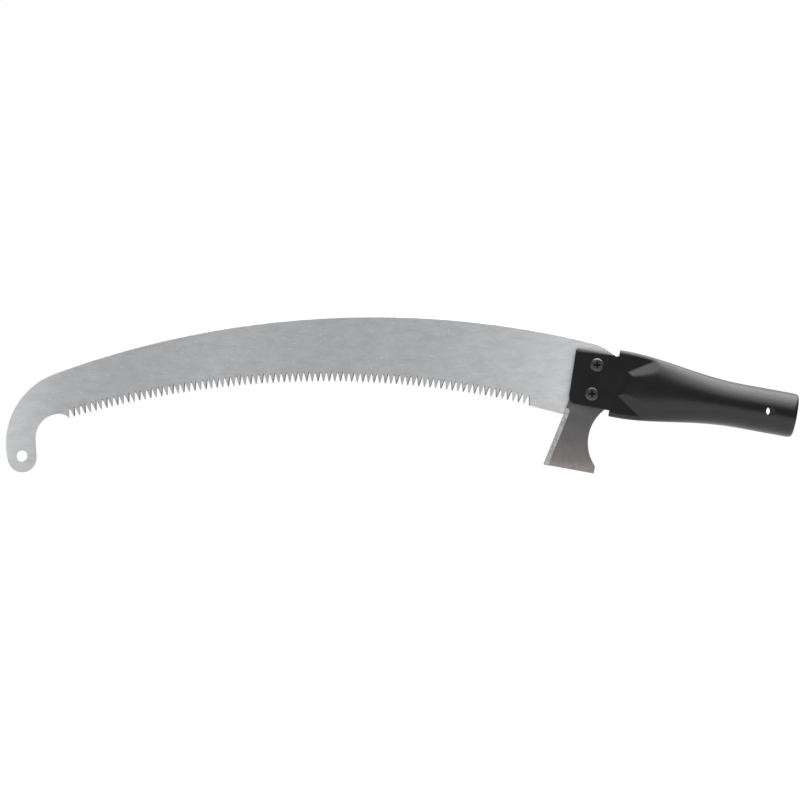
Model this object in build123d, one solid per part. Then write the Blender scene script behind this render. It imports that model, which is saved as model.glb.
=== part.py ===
from build123d import *
import os
from math import acos, atan2, cos, degrees, hypot, radians, sin

# Head of a pole pruning saw, in millimetres.
# The origin is the centre of the socket's mouth. The pole leaves along +X, the curved blade
# reaches out along -X with its teeth below, the screw heads face -Y, and +Z is up.

# Pole socket: a steel tube, round at its mouth and pressed flat at its far end.
# The powers set how early in the pressed length the tube grows taller and thinner, and the
# slack keeps the flat sides of the first pressed section from having no length.
TUBE_OUTER_R = 16.5
WALL = 1.5
ROUND_LENGTH = 40.0
MOUTH_EDGE_R = 0.7
CROSS_HOLE_R = 3.25
CROSS_HOLE_X = -20.2
FLAT_HALF_HEIGHT = 25.3
FLAT_START_X = -131.0
SHOULDER_X = -137.3
SWELL_POWER = 1.1
SQUEEZE_POWER = 2.0
TAPER_STEPS = 7
ROUND_SLACK = 0.02

# Clamping tab: two cheeks with the knife and the blade between them. Each cheek's root runs
# on into the pressed end of the tube.
TAB_END_TOP_X = -170.1
TAB_END_LOW_X = -169.3
TAB_HALF_HEIGHT = 20.8
TAB_UPPER_CORNER_R = 1.5
TAB_LOWER_CORNER_R = 6.0
NOTCH_R = 2.2
NOTCH_RISE = 1.4
CHEEK_ROOT = 2.5
KNIFE_THICKNESS = 2.5
BLADE_THICKNESS = 1.4

# Saw blade: the back, the hook and the tip are tangent arcs.
BACK_CENTRE = (-199.3, -666.1)
BACK_R = 694.0
BACK_END_ANGLE = 120.5
HOOK_R = 55.9
TIP_ANGLE = 203.9
TIP_R = 10.8
HOOK_HOLE_R = 4.0
HOOK_HOLE = (-564.7, -133.1)
THROAT_CENTRE = (-539.2, -115.0)
THROAT_R = 18.25
CREST_ANGLE = 100.8

# Teeth: pointed triangles on a circle that is a little smaller than the back's.
TOOTH_CENTRE = (-228.75, -710.4)
TOOTH_TIP_R = 684.0
TOOTH_DEPTH = 6.2
TOOTH_COUNT = 82
TOOTH_PITCH_ANGLE = 0.3523
FIRST_TOOTH_ANGLE = 90 + 26.244
TOOTH_TIP_WIDTH = 0.8
GULLET_WIDTH = 0.45

# Blade heel, which runs in behind the knife and the tab.
HEEL_CORNER = (-197.3, -27.9)
HEEL_INNER = (-162.0, -30.6)
HEEL_RISE = (-150.0, -18.5)
BLADE_END_X = -140.0
BLADE_END_LOW_Z = -13.0
BLADE_END_TOP_Z = 19.8
HEEL_ROUND_X = -159.0

# Undercut knife: a chisel edge on the left, a concave sickle edge on the right.
KNIFE_TOP_Z = 18.0
KNIFE_TANG_LEFT_X = -168.8
KNIFE_TANG_RIGHT_X = -141.0
KNIFE_NECK_Z = -20.5
KNIFE_BOTTOM_Z = -69.4
KNIFE_EDGE_BOTTOM_X = -178.9
KNIFE_TOE_X = -140.6
KNIFE_TOE_TOP_Z = -64.0
SICKLE_LOW = (-141.3, -63.0)
SICKLE_MIDDLE = (-149.4, -43.0)
SICKLE_HIGH = (-142.0, -22.0)
KNIFE_BEVEL_WIDTH = 4.0
KNIFE_EDGE_LAND = 0.4
KNIFE_BEVEL_TOP_Z = -23.5

# Screws: M5 pan heads on the front, spring washers and hexagon nuts on the back.
SCREW_X = -152.8
SCREW_HALF_SPACING = 11.0
SCREW_R = 2.5
SCREW_HOLE_R = 2.7
HEAD_R = 5.2
HEAD_HEIGHT = 3.6
HEAD_EDGE_R = 2.3
RECESS_SPAN = 5.6
RECESS_WIDTH = 1.1
RECESS_DEPTH = 2.2
LOCK_WASHER_R = 4.6
LOCK_WASHER_HOLE_R = 2.7
LOCK_WASHER_THICKNESS = 1.2
LOCK_WASHER_GAP = 0.8
LOCK_WASHER_SLANT = 20.0
SCREW_END_CHAMFER = 0.5
NUT_FLATS = 8.0
NUT_HEIGHT = 4.0
NUT_CHAMFER = 0.6
THREAD_PROTRUSION = 1.6

GAP = KNIFE_THICKNESS + BLADE_THICKNESS
CHEEK_INNER_Y = GAP / 2
CHEEK_OUTER_Y = CHEEK_INNER_Y + WALL
KNIFE_BACK_Y = -CHEEK_INNER_Y + KNIFE_THICKNESS
STACK_BACK_Y = CHEEK_OUTER_Y + LOCK_WASHER_THICKNESS
SCREW_TIP_Y = STACK_BACK_Y + NUT_HEIGHT + THREAD_PROTRUSION


def polar(centre, radius, angle):
    """Point on a circle in the blade's plane, as (x, z), at an angle in degrees from +X."""
    return (centre[0] + radius * cos(radians(angle)), centre[1] + radius * sin(radians(angle)))


def plate(outline, low_y, high_y):
    """Solid between two Y planes from a face drawn in X and Z."""
    return extrude(Plane.XZ.offset(-low_y) * outline, amount=high_y - low_y, dir=(0, 1, 0))


def enclosed(curves):
    """Face inside a closed run of lines and arcs."""
    return make_face([edge for curve in curves for edge in curve.edges()])


def rod(x, z, radius, low_y, high_y):
    """Round bar along Y between two Y planes."""
    return plate(Pos(x, z) * Circle(radius), low_y, high_y)


def screw_places():
    """Upper and lower screw centres by name, as (x, z)."""
    return {"upper": (SCREW_X, SCREW_HALF_SPACING), "lower": (SCREW_X, -SCREW_HALF_SPACING)}


def drill_screw_holes(body):
    """The body with both screw holes cut through it along Y."""
    for x, z in screw_places().values():
        body -= rod(x, z, SCREW_HOLE_R, -2 * CHEEK_OUTER_Y, 2 * CHEEK_OUTER_Y)
    return body


def pressed_share(x):
    """How far the press has closed the tube at x: 0 where it is round, 1 where it is flat."""
    return (-ROUND_LENGTH - x) / (-ROUND_LENGTH - FLAT_START_X)


def swell(x):
    """Half-height of the tube's outside at x, which grows as the tube is pressed flat."""
    share = pressed_share(x) ** SWELL_POWER
    eased = share * share * (3 - 2 * share)
    return TUBE_OUTER_R + (FLAT_HALF_HEIGHT - TUBE_OUTER_R) * eased


def squeeze(x):
    """Half-thickness of the tube's outside at x, which falls as the tube is pressed flat."""
    share = pressed_share(x) ** SQUEEZE_POWER
    return TUBE_OUTER_R - (TUBE_OUTER_R - CHEEK_OUTER_Y) * share


def tube_section(x, inset):
    """Section of the pressed tube at x, drawn in by inset: flat sides and round folds."""
    height = 2 * (swell(x) - inset + ROUND_SLACK)
    section = SlotOverall(height, 2 * (squeeze(x) - inset))
    return Plane((x, 0, 0), x_dir=(0, 0, 1), z_dir=(1, 0, 0)) * section


def tube_core(inset):
    """The whole tube as a solid drawn in by inset: round, then tapering, then flat."""
    core = extrude(Plane.YZ * Circle(TUBE_OUTER_R - inset), amount=-ROUND_LENGTH)
    taper = FLAT_START_X + ROUND_LENGTH
    xs = [-ROUND_LENGTH + taper * step / TAPER_STEPS for step in range(TAPER_STEPS + 1)]
    core += loft([tube_section(x, inset) for x in xs])
    flat = tube_section(FLAT_START_X, inset)
    return core + extrude(flat, amount=FLAT_START_X - SHOULDER_X, dir=(-1, 0, 0))


def cheek_outline():
    """Side view of one cheek, with its two free corners rounded."""
    z = TAB_HALF_HEIGHT
    upper = (TAB_END_TOP_X, z)
    lower = (TAB_END_LOW_X, -z)
    far = SHOULDER_X + CHEEK_ROOT
    corners = FilletPolyline((far, z), upper, lower, (far, -z),
                             radius=(TAB_UPPER_CORNER_R, TAB_LOWER_CORNER_R))
    return enclosed([corners, Line((far, -z), (far, z))])


def pole_socket():
    """The tube: round mouth, tapering middle, pressed end and two cheeks, all one wall thick."""
    body = tube_core(0)
    body = fillet(body.edges().sort_by(Axis.X)[-1], MOUTH_EDGE_R)
    body -= tube_core(WALL)
    for low_y, high_y in ((-CHEEK_OUTER_Y, -CHEEK_INNER_Y), (CHEEK_INNER_Y, CHEEK_OUTER_Y)):
        body += plate(cheek_outline(), low_y, high_y)
    notch_z = TAB_HALF_HEIGHT + NOTCH_RISE
    body -= rod(SHOULDER_X - NOTCH_R, notch_z, NOTCH_R, -CHEEK_OUTER_Y, CHEEK_OUTER_Y)
    body -= rod(CROSS_HOLE_X, 0, CROSS_HOLE_R, -2 * TUBE_OUTER_R, 2 * TUBE_OUTER_R)
    return drill_screw_holes(body)


def tooth_line():
    """Outline of the teeth from the last gullet back to the first, as points (x, z)."""
    gullet_r = TOOTH_TIP_R + TOOTH_DEPTH
    half_tip = degrees(TOOTH_TIP_WIDTH / 2 / TOOTH_TIP_R)
    half_gullet = degrees(GULLET_WIDTH / 2 / gullet_r)
    points = []
    for number in reversed(range(TOOTH_COUNT)):
        angle = FIRST_TOOTH_ANGLE - number * TOOTH_PITCH_ANGLE
        root = angle - TOOTH_PITCH_ANGLE / 2
        points.append(polar(TOOTH_CENTRE, gullet_r, root - half_gullet))
        points.append(polar(TOOTH_CENTRE, gullet_r, root + half_gullet))
        points.append(polar(TOOTH_CENTRE, TOOTH_TIP_R, angle - half_tip))
        points.append(polar(TOOTH_CENTRE, TOOTH_TIP_R, angle + half_tip))
    root = FIRST_TOOTH_ANGLE + TOOTH_PITCH_ANGLE / 2
    points.append(polar(TOOTH_CENTRE, gullet_r, root - half_gullet))
    points.append(polar(TOOTH_CENTRE, gullet_r, root + half_gullet))
    return points


def saw_blade():
    """Curved blade with its hooked tip, the hole in the hook, and the teeth below."""
    hook_centre = polar(BACK_CENTRE, BACK_R - HOOK_R, BACK_END_ANGLE)
    tip_centre = polar(hook_centre, HOOK_R - TIP_R, TIP_ANGLE)

    # The tip and the throat bend opposite ways, so their common tangent crosses between them.
    across = (THROAT_CENTRE[0] - tip_centre[0], THROAT_CENTRE[1] - tip_centre[1])
    bearing = degrees(atan2(across[1], across[0]))
    tangent = bearing - degrees(acos((TIP_R + THROAT_R) / hypot(*across)))
    tip_leaves = polar(tip_centre, TIP_R, tangent)
    throat_starts = polar(THROAT_CENTRE, THROAT_R, tangent + 180)
    throat_middle = polar(THROAT_CENTRE, THROAT_R, (tangent + 180 + CREST_ANGLE) / 2)
    throat_ends = polar(THROAT_CENTRE, THROAT_R, CREST_ANGLE)
    spur = polar(TOOTH_CENTRE, TOOTH_TIP_R, FIRST_TOOTH_ANGLE + TOOTH_PITCH_ANGLE)
    crest_run = (sin(radians(CREST_ANGLE)), -cos(radians(CREST_ANGLE)))

    # Heel, from the back's end over a rounded corner and down behind the tab.
    heel_top = (BLADE_END_X, BLADE_END_TOP_Z)
    back_leaves_angle = degrees(acos((HEEL_ROUND_X - BACK_CENTRE[0]) / BACK_R))
    back_leaves = polar(BACK_CENTRE, BACK_R, back_leaves_angle)
    back_run = (sin(radians(back_leaves_angle)), -cos(radians(back_leaves_angle)))

    back_middle = polar(BACK_CENTRE, BACK_R, (BACK_END_ANGLE + back_leaves_angle) / 2)
    back_joins = polar(BACK_CENTRE, BACK_R, BACK_END_ANGLE)
    hook_middle = polar(hook_centre, HOOK_R, (BACK_END_ANGLE + TIP_ANGLE) / 2)
    hook_ends = polar(hook_centre, HOOK_R, TIP_ANGLE)
    tip_bottom = polar(tip_centre, TIP_R, (TIP_ANGLE + tangent + 360) / 2)

    edges = [
        ThreePointArc(back_leaves, back_middle, back_joins),
        ThreePointArc(back_joins, hook_middle, hook_ends),
        ThreePointArc(hook_ends, tip_bottom, tip_leaves),
        Line(tip_leaves, throat_starts),
        ThreePointArc(throat_starts, throat_middle, throat_ends),
        TangentArc(throat_ends, spur, tangent=crest_run),
        Polyline(spur, *reversed(tooth_line()), HEEL_CORNER, HEEL_INNER, HEEL_RISE,
                 (BLADE_END_X, BLADE_END_LOW_Z), heel_top),
        TangentArc(back_leaves, heel_top, tangent=back_run),
    ]
    body = plate(enclosed(edges), KNIFE_BACK_Y, CHEEK_INNER_Y)
    body -= rod(*HOOK_HOLE, HOOK_HOLE_R, -CHEEK_OUTER_Y, CHEEK_OUTER_Y)
    return drill_screw_holes(body)


def undercut_knife():
    """Short knife below the tab, ground to a chisel edge along its left side."""
    edge_top = (KNIFE_TANG_LEFT_X, KNIFE_NECK_Z)
    edge_bottom = (KNIFE_EDGE_BOTTOM_X, KNIFE_BOTTOM_Z)
    edges = [
        Polyline(SICKLE_HIGH, (KNIFE_TANG_RIGHT_X, KNIFE_NECK_Z), (KNIFE_TANG_RIGHT_X, KNIFE_TOP_Z),
                 (KNIFE_TANG_LEFT_X, KNIFE_TOP_Z), edge_top, edge_bottom,
                 (KNIFE_TOE_X, KNIFE_BOTTOM_Z), (KNIFE_TOE_X, KNIFE_TOE_TOP_Z), SICKLE_LOW),
        ThreePointArc(SICKLE_LOW, SICKLE_MIDDLE, SICKLE_HIGH),
    ]
    body = plate(enclosed(edges), -CHEEK_INNER_Y, KNIFE_BACK_Y)

    # The bevel falls from the front face to a thin land at the back face along the edge.
    along = Vector(edge_top[0] - edge_bottom[0], 0, edge_top[1] - edge_bottom[1]).normalized()
    inward = Vector(along.Z, 0, -along.X)
    start = Vector(edge_bottom[0], 0, edge_bottom[1]) - along * KNIFE_BEVEL_WIDTH
    land_y = KNIFE_BACK_Y - KNIFE_EDGE_LAND
    wedge = Polygon((-1, -CHEEK_OUTER_Y), (KNIFE_BEVEL_WIDTH, -CHEEK_OUTER_Y),
                    (KNIFE_BEVEL_WIDTH, -CHEEK_INNER_Y), (0, land_y), (-1, land_y), align=None)
    length = KNIFE_BEVEL_WIDTH + (KNIFE_BEVEL_TOP_Z - KNIFE_BOTTOM_Z) / along.Z
    body -= extrude(Plane(start, x_dir=inward, z_dir=along) * wedge, amount=length, dir=along)
    return drill_screw_holes(body)


def pan_screw(x, z):
    """Pan-head screw along Y with a cross recess and its head against the front cheek."""
    seat_y = -CHEEK_OUTER_Y
    crown_y = seat_y - HEAD_HEIGHT
    head = rod(0, 0, HEAD_R, crown_y, seat_y)
    head = fillet(head.edges().sort_by(Axis.Y)[0], HEAD_EDGE_R)
    shank = rod(0, 0, SCREW_R, crown_y + RECESS_DEPTH, SCREW_TIP_Y)
    shank = chamfer(shank.edges().sort_by(Axis.Y)[-1], SCREW_END_CHAMFER)
    body = head + shank
    for angle in (0, 90):
        arm = Box(RECESS_SPAN, 2 * RECESS_DEPTH, RECESS_WIDTH)
        body -= Pos(0, crown_y, 0) * Rot(0, angle, 0) * arm
    return Pos(x, 0, z) * body


def lock_washer(x, z):
    """Split spring washer behind the rear cheek."""
    ring = rod(0, 0, LOCK_WASHER_R, CHEEK_OUTER_Y, STACK_BACK_Y)
    ring -= rod(0, 0, LOCK_WASHER_HOLE_R, CHEEK_OUTER_Y, STACK_BACK_Y)
    split = Box(LOCK_WASHER_GAP, 3 * LOCK_WASHER_THICKNESS, LOCK_WASHER_R)
    middle_y = (CHEEK_OUTER_Y + STACK_BACK_Y) / 2
    ring -= Pos(0, middle_y, LOCK_WASHER_R * 0.9) * Rot(0, 0, LOCK_WASHER_SLANT) * split
    return Pos(x, 0, z) * ring


def hex_nut(x, z):
    """Hexagon nut with chamfered corners on the screw's end."""
    corner_r = NUT_FLATS / 3**0.5
    body = plate(RegularPolygon(corner_r, 6), STACK_BACK_Y, STACK_BACK_Y + NUT_HEIGHT)
    turned = rod(0, 0, corner_r, STACK_BACK_Y, STACK_BACK_Y + NUT_HEIGHT)
    turned = chamfer(turned.edges().filter_by(GeomType.CIRCLE), NUT_CHAMFER / 2, NUT_CHAMFER)
    body = body & turned
    body -= rod(0, 0, SCREW_R, STACK_BACK_Y, STACK_BACK_Y + NUT_HEIGHT)
    return Pos(x, 0, z) * body


def main():
    """Build every node and write it as its own STEP file."""
    nodes = {
        "saw_blade": saw_blade(),
        "undercut_knife": undercut_knife(),
        "pole_socket": pole_socket(),
    }
    for side, place in screw_places().items():
        nodes[side + "_screw"] = pan_screw(*place)
        nodes[side + "_lock_washer"] = lock_washer(*place)
        nodes[side + "_nut"] = hex_nut(*place)

    os.makedirs("parts", exist_ok=True)
    for name, shape in nodes.items():
        shape.label = name
        export_step(shape, os.path.join("parts", name + ".step"))


main()
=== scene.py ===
"""Looks of a pole pruning saw's head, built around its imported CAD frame.

Lengths in the shape code are millimetres in the row frame, and every mesh is scaled to metres
when it is made. The blade, the knife and the socket are drawn in X and Z, with Y as thickness.
"""

import bisect
import math

import bmesh
import bpy
from mathutils import Matrix, Vector


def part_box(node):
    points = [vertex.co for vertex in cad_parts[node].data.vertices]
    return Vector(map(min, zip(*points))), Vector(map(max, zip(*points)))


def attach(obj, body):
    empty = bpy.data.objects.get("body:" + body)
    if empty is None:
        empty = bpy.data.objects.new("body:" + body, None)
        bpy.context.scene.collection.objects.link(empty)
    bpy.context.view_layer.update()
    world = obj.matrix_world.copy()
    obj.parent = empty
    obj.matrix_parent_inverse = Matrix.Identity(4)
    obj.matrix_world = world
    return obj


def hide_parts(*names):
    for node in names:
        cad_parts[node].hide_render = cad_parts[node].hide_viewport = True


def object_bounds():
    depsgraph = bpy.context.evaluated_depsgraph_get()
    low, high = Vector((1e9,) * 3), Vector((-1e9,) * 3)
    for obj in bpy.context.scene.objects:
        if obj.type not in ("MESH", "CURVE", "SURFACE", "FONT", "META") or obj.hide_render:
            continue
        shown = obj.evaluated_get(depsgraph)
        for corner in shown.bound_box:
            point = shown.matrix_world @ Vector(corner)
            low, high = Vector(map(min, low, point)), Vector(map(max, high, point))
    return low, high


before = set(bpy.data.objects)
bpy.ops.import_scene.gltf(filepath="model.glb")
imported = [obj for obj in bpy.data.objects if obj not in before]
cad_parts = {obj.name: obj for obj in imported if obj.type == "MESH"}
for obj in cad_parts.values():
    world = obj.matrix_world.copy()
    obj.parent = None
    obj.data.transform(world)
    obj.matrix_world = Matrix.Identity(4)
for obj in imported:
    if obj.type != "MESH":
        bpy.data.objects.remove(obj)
cad_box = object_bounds()

MM = 0.001
TILT = math.radians(10.3)
SIDES = ("upper", "lower")


def node_box(name):
    """Lowest and highest corner of a CAD node in millimetres."""
    low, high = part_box(name)
    return Vector(low) / MM, Vector(high) / MM


# Places read from the frame.
BLADE_LOW, BLADE_HIGH = node_box("saw_blade")
KNIFE_LOW, KNIFE_HIGH = node_box("undercut_knife")
SOCKET_LOW, SOCKET_HIGH = node_box("pole_socket")
SCREW_BOXES = {side: node_box(side + "_screw") for side in SIDES}
NUT_BOXES = {side: node_box(side + "_nut") for side in SIDES}
WASHER_BOXES = {side: node_box(side + "_lock_washer") for side in SIDES}
SCREWS = {side: ((low.x + high.x) / 2, (low.z + high.z) / 2) for side, (low, high) in SCREW_BOXES.items()}

# What the parts share.
WALL = 1.5
HOLE_R = 2.7
HOLE_EDGE = 0.1
CHEEK_INNER_Y = BLADE_HIGH.y
CHEEK_OUTER_Y = BLADE_HIGH.y + WALL


# ---------------------------------------------------------------- small geometry helpers

def between(a, b, share):
    """Point a share of the way from one point to another."""
    return (a[0] + (b[0] - a[0]) * share, a[1] + (b[1] - a[1]) * share)


def limited(value):
    """A value kept between 0 and 1."""
    return min(max(value, 0.0), 1.0)


def polar(centre, radius, angle):
    """Point on a circle at an angle in degrees from +X."""
    turn = math.radians(angle)
    return (centre[0] + radius * math.cos(turn), centre[1] + radius * math.sin(turn))


def arc(centre, radius, start, end, step=0.8):
    """Points along a circle from one angle to another, about step millimetres apart."""
    length = abs(math.radians(end - start)) * radius
    count = max(2, math.ceil(length / step))
    return [polar(centre, radius, start + (end - start) * k / count) for k in range(count + 1)]


def straight(start, end, step=2.0):
    """Points along a line, about step millimetres apart."""
    count = max(1, math.ceil(math.dist(start, end) / step))
    return [between(start, end, k / count) for k in range(count + 1)]


def path(*corners):
    """Points along straight lines from corner to corner."""
    return joined(*(straight(a, b) for a, b in zip(corners, corners[1:])))


def angle_of(centre, point):
    """Angle in degrees of a point seen from a centre."""
    return math.degrees(math.atan2(point[1] - centre[1], point[0] - centre[0]))


def touching_arc(start, towards, end, step=0.8):
    """Points along the circle through start and end whose centre lies from start towards a point."""
    run = Vector((end[0] - start[0], end[1] - start[1]))
    inner = Vector((towards[0] - start[0], towards[1] - start[1])).normalized()
    radius = run.length_squared / (2 * run.dot(inner))
    centre = (start[0] + inner.x * radius, start[1] + inner.y * radius)
    return arc(centre, radius, angle_of(centre, start), angle_of(centre, end), step)


def arc_through(a, b, c, step):
    """Points along the arc from a past b to c."""
    ax, az, bx, bz, cx, cz = *a, *b, *c
    d = 2 * (ax * (bz - cz) + bx * (cz - az) + cx * (az - bz))
    a2, b2, c2 = ax * ax + az * az, bx * bx + bz * bz, cx * cx + cz * cz
    x = (a2 * (bz - cz) + b2 * (cz - az) + c2 * (az - bz)) / d
    z = (a2 * (cx - bx) + b2 * (ax - cx) + c2 * (bx - ax)) / d
    centre = (x, z)
    return arc(centre, math.dist(centre, a), angle_of(centre, a) % 360, angle_of(centre, c) % 360, step)


def joined(*runs):
    """Runs of points as one run, without a point that repeats the one before it."""
    points = []
    for run in runs:
        for point in run:
            if not points or math.dist(points[-1], point) > 1e-6:
                points.append(point)
    if math.dist(points[0], points[-1]) < 1e-6:
        points.pop()
    return points


def evenly(points, count, start=0.0, end=None):
    """An open run, or the part of it between two distances along it, in count equal steps."""
    lengths = lengths_along(points)
    end = lengths[-1] if end is None else end
    made = []
    for k in range(count + 1):
        target = start + (end - start) * k / count
        at = min(bisect.bisect_right(lengths, target), len(points) - 1) - 1
        span = max(lengths[at + 1] - lengths[at], 1e-9)
        made.append(between(points[at], points[at + 1], limited((target - lengths[at]) / span)))
    return made


def lengths_along(points):
    """Distance of each point of an open run from its first point."""
    lengths = [0.0]
    for a, b in zip(points, points[1:]):
        lengths.append(lengths[-1] + math.dist(a, b))
    return lengths


def inset(points, depth):
    """A closed run of points moved inwards."""
    count = len(points)
    area = sum(points[k - 1][0] * points[k][1] - points[k][0] * points[k - 1][1] for k in range(count))
    side = 1 if area > 0 else -1
    moved = []
    for k, (x, z) in enumerate(points):
        before, after = points[k - 1], points[(k + 1) % count]
        first = Vector((x - before[0], z - before[1])).normalized()
        second = Vector((after[0] - x, after[1] - z)).normalized()
        inner = Vector((-(first.y + second.y), first.x + second.x)).normalized() * side
        # A sharp corner moves no further than twice the depth.
        lean = max(0.5, abs(Vector((-first.y, first.x)).dot(inner)))
        moved.append((x + inner.x * depth / lean, z + inner.y * depth / lean))
    return moved


def smooth_min(a, b, radius):
    """The smaller of two values, with their crossing rounded over."""
    near = max(radius - abs(a - b), 0.0) / radius
    return min(a, b) - near * near * radius / 4


def smooth_max(a, b, radius):
    """The larger of two values, with their crossing rounded out."""
    return -smooth_min(-a, -b, radius)


# ---------------------------------------------------------------- mesh helpers

def new_object(name, data):
    """Object in the scene for a mesh, a light or a camera."""
    made = bpy.data.objects.new(name, data)
    bpy.context.scene.collection.objects.link(made)
    return made


def mesh_object(name, bm, materials):
    """Object from a bmesh, which is then freed."""
    mesh = bpy.data.meshes.new(name)
    bm.to_mesh(mesh)
    bm.free()
    for material in materials:
        mesh.materials.append(material)
    return new_object(name, mesh)


def new_piece(name, bm, materials, node):
    """Piece from a bmesh in millimetres, riding on the one body and standing for its node."""
    bmesh.ops.remove_doubles(bm, verts=bm.verts, dist=1e-5)
    bmesh.ops.recalc_face_normals(bm, faces=bm.faces)
    bmesh.ops.scale(bm, vec=(MM, MM, MM), verts=bm.verts)
    piece = mesh_object(name, bm, materials)
    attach(piece, "root")
    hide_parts(node)
    return piece


def shade_by_angle(piece, degrees):
    """Smooth shading that breaks at edges sharper than the given angle."""
    for polygon in piece.data.polygons:
        polygon.use_smooth = True
    piece.data.set_sharp_from_angle(angle=math.radians(degrees))


def settle_modifiers(piece):
    """Replaces the piece's mesh by what its modifiers make of it."""
    depsgraph = bpy.context.evaluated_depsgraph_get()
    settled = bpy.data.meshes.new_from_object(piece.evaluated_get(depsgraph))
    piece.modifiers.clear()
    piece.data = settled


def add_strip(bm, ring_a, ring_b, closed=True):
    """Quads between two runs of vertices of equal length."""
    count = len(ring_a)
    for k in range(count if closed else count - 1):
        n = (k + 1) % count
        corners = [ring_a[k], ring_a[n], ring_b[n], ring_b[k]]
        distinct = [v for i, v in enumerate(corners) if v not in corners[:i]]
        if len(distinct) > 2:
            bm.faces.new(distinct)


def add_rings(bm, rings):
    """Rings of points joined by strips; returns the first and the last ring's vertices.

    A ring whose points are all the same is one vertex, in the middle of a dome or a disc.
    """
    made = []
    for ring in rings:
        if len(set(ring)) == 1:
            made.append([bm.verts.new(ring[0])] * len(ring))
        else:
            made.append([bm.verts.new(point) for point in ring])
    for ring_a, ring_b in zip(made, made[1:]):
        add_strip(bm, ring_a, ring_b)
    return made[0], made[-1]


def plate_rings(faces, edge, *outlines):
    """Rings from outlines at a plate's front face, inside its two rims' chamfers, and at its back."""
    front_y, back_y = faces
    levels = (front_y, front_y + edge, back_y - edge, back_y)
    return [[(x, y, z) for x, z in outline] for outline, y in zip(outlines, levels)]


def hole_rings(faces, edge, centre, radius):
    """Four rings for a round hole through a plate, with a small chamfer on both rims."""
    rim = arc(centre, radius, 0, 360, step=0.4)[:-1]
    wide = [between(centre, point, (radius + edge) / radius) for point in rim]
    return plate_rings(faces, edge, wide, rim, rim, wide)


def screw_hole_rings(faces):
    """The rings of the two screw holes through a plate."""
    return [hole_rings(faces, HOLE_EDGE, place, HOLE_R) for place in SCREWS.values()]


def plate_from(loops):
    """Closed plate from its outline's rings and its holes' rings."""
    bm = bmesh.new()
    ends = [add_rings(bm, rings) for rings in loops]
    for face_loops in zip(*ends):
        edges = []
        for loop in face_loops:
            edges += [bm.edges.get((vertex, loop[(k + 1) % len(loop)])) for k, vertex in enumerate(loop)]
        bmesh.ops.triangle_fill(bm, use_beauty=True, use_dissolve=False, edges=edges)
    return bm


# ---------------------------------------------------------------- materials

class Nodes:
    """Short ways to add and link a material's nodes."""

    def __init__(self, name):
        self.material = bpy.data.materials.new(name)
        self.material.use_nodes = True
        self.tree = self.material.node_tree
        self.shader = self.tree.nodes["Principled BSDF"]
        self.place = self.add("ShaderNodeTexCoord").outputs["Object"]

    def add(self, kind, inputs=None, **settings):
        """Node with its settings, and its inputs as feed takes them."""
        node = self.tree.nodes.new(kind)
        for key, value in settings.items():
            setattr(node, key, value)
        self.feed(node, inputs or {})
        return node

    def feed(self, node, inputs):
        """Sets inputs, by name or number, to plain values, or links them to outputs."""
        for key, value in inputs.items():
            if isinstance(value, bpy.types.NodeSocket):
                self.tree.links.new(value, node.inputs[key])
            else:
                node.inputs[key].default_value = value

    def math(self, operation, a, b, clamp=False):
        return self.add("ShaderNodeMath", {0: a, 1: b}, operation=operation, use_clamp=clamp).outputs[0]

    def plus(self, a, b):
        return self.math("ADD", a, b)

    def times(self, a, b):
        return self.math("MULTIPLY", a, b)

    def vector_math(self, operation, a, b):
        return self.add("ShaderNodeVectorMath", {0: a, 1: b}, operation=operation).outputs

    def stretched(self, scale, slant=0.0):
        """The place scaled by axis, after a turn about Y that slants what is drawn out along X."""
        turned = self.add("ShaderNodeVectorRotate", {"Vector": self.place, "Angle": slant},
                          rotation_type="Y_AXIS")
        return self.vector_math("MULTIPLY", turned.outputs[0], scale)[0]

    def noise(self, vector, scale, detail=2.0, roughness=0.5):
        inputs = {"Vector": vector, "Scale": scale, "Detail": detail, "Roughness": roughness}
        return self.add("ShaderNodeTexNoise", inputs).outputs["Fac"]

    def ramp(self, value, *stops):
        """Colour ramp from (position, colour) stops."""
        node = self.add("ShaderNodeValToRGB", {"Fac": value})
        elements = node.color_ramp.elements
        while len(elements) < len(stops):
            elements.new(1.0)
        for element, (position, colour) in zip(elements, stops):
            element.position = position
            element.color = (*colour, 1.0)
        return node.outputs["Color"]

    def spread(self, value, low, high, from_low=0.3, from_high=0.7):
        """A value from one range moved to another."""
        inputs = {"Value": value, "From Min": from_low, "From Max": from_high, "To Min": low, "To Max": high}
        return self.add("ShaderNodeMapRange", inputs).outputs["Result"]

    def mix(self, share, a, b, blend="MIX"):
        """Two colours mixed; the numbers are the colour sockets among the node's many."""
        a, b = (c if isinstance(c, bpy.types.NodeSocket) else (*c, 1.0) for c in (a, b))
        node = self.add("ShaderNodeMix", {0: share, 6: a, 7: b}, data_type="RGBA", blend_type=blend)
        return node.outputs[2]

    def bump(self, height, strength, distance):
        inputs = {"Height": height, "Strength": strength, "Distance": distance}
        return self.add("ShaderNodeBump", inputs).outputs["Normal"]

    def axis(self, name):
        return self.add("ShaderNodeSeparateXYZ", {0: self.place}).outputs[name]

    def finish(self, colour, rough, normal=None, metallic=1.0):
        """The material, with its shader's inputs set or linked."""
        self.feed(self.shader, {"Base Color": colour, "Roughness": rough, "Metallic": metallic})
        if normal is not None:
            self.feed(self.shader, {"Normal": normal})
        return self.material


def grey(value):
    return (value, value, value)


def cloudy(name, scale, dark, light):
    """Nodes of a material that drifts between two tones, with the clouds and the colour they give."""
    n = Nodes(name)
    clouds = n.noise(n.place, scale, 3.0, 0.6)
    return n, clouds, n.ramp(clouds, (0.3, dark), (0.7, light))


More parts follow.
